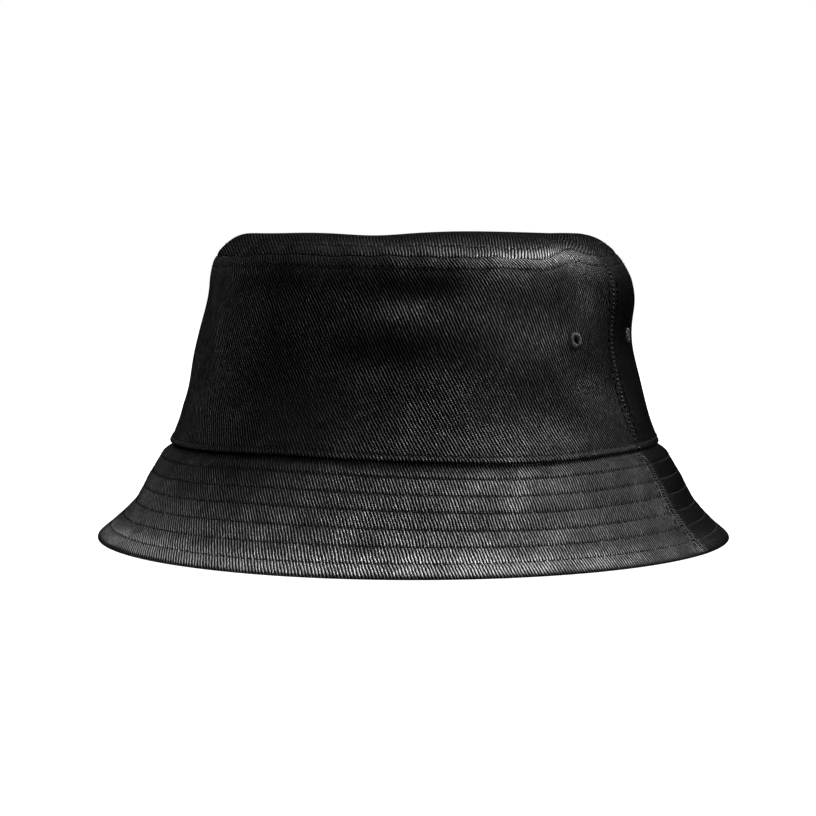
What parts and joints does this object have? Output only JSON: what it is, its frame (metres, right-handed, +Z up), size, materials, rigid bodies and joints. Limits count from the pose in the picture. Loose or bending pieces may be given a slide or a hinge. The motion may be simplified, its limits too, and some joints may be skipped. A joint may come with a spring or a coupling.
{
  "type": "bucket hat",
  "caption": "Unlined cloth bucket hat: flat round crown on a flared side wall, with a sloping brim quilted by rings of stitching.",
  "frame": {"origin": "centre of the brim's ring, on the surface the hat stands on", "axes": "+Z up out of the crown; -Y is the front of the hat; +X is the wearer's left"},
  "size_m": [0.2528, 0.2528, 0.1207],
  "materials": {
    "twill": "black cotton twill, matt with a faint sheen on the ridges",
    "interlining": "matt non-woven stiffening",
    "band_cloth": "matt plain-woven black cotton",
    "tape": "matt black herringbone tape",
    "embroidery": "black embroidery thread with a soft gloss",
    "thread": "black spun sewing thread",
    "label": "plain off-white satin ribbon, blank",
    "label_thread": "off-white sewing thread"
  },
  "bodies": {
    "hat": {"tip_panel": "twill", "wall_front": "twill", "wall_back": "twill", "brim_upper_front": "twill", "brim_upper_back": "twill", "brim_under_front": "twill", "brim_under_back": "twill", "brim_interlining_front": "interlining", "brim_interlining_back": "interlining", "sweatband": "band_cloth", "tip_seam_tape": "tape", "side_seam_tape_left": "tape", "side_seam_tape_right": "tape", "eyelet_front_left": "embroidery", "eyelet_front_right": "embroidery", "eyelet_back_left": "embroidery", "eyelet_back_right": "embroidery", "tip_topstitch_upper": "thread", "tip_topstitch_lower": "thread", "crown_topstitch": "thread", "wall_seam_stitch_left": "thread", "wall_seam_stitch_right": "thread", "brim_stitch_row_1": "thread", "brim_stitch_row_2": "thread", "brim_stitch_row_3": "thread", "brim_stitch_row_4": "thread", "brim_stitch_row_5": "thread", "brim_stitch_row_6": "thread", "brim_seam_stitch_left": "thread", "brim_seam_stitch_right": "thread", "sweatband_hem_stitch": "thread", "label_tack": "label_thread"},
    "label": {"care_label": "label"}
  },
  "joints": [
    {"name": "label_swing", "type": "hinge", "parent": "hat", "child": "label", "pos_m": [0, 0.0794, 0.106], "axis": [-1, 0, 0], "range_deg": [-8, 105]}
  ]
}
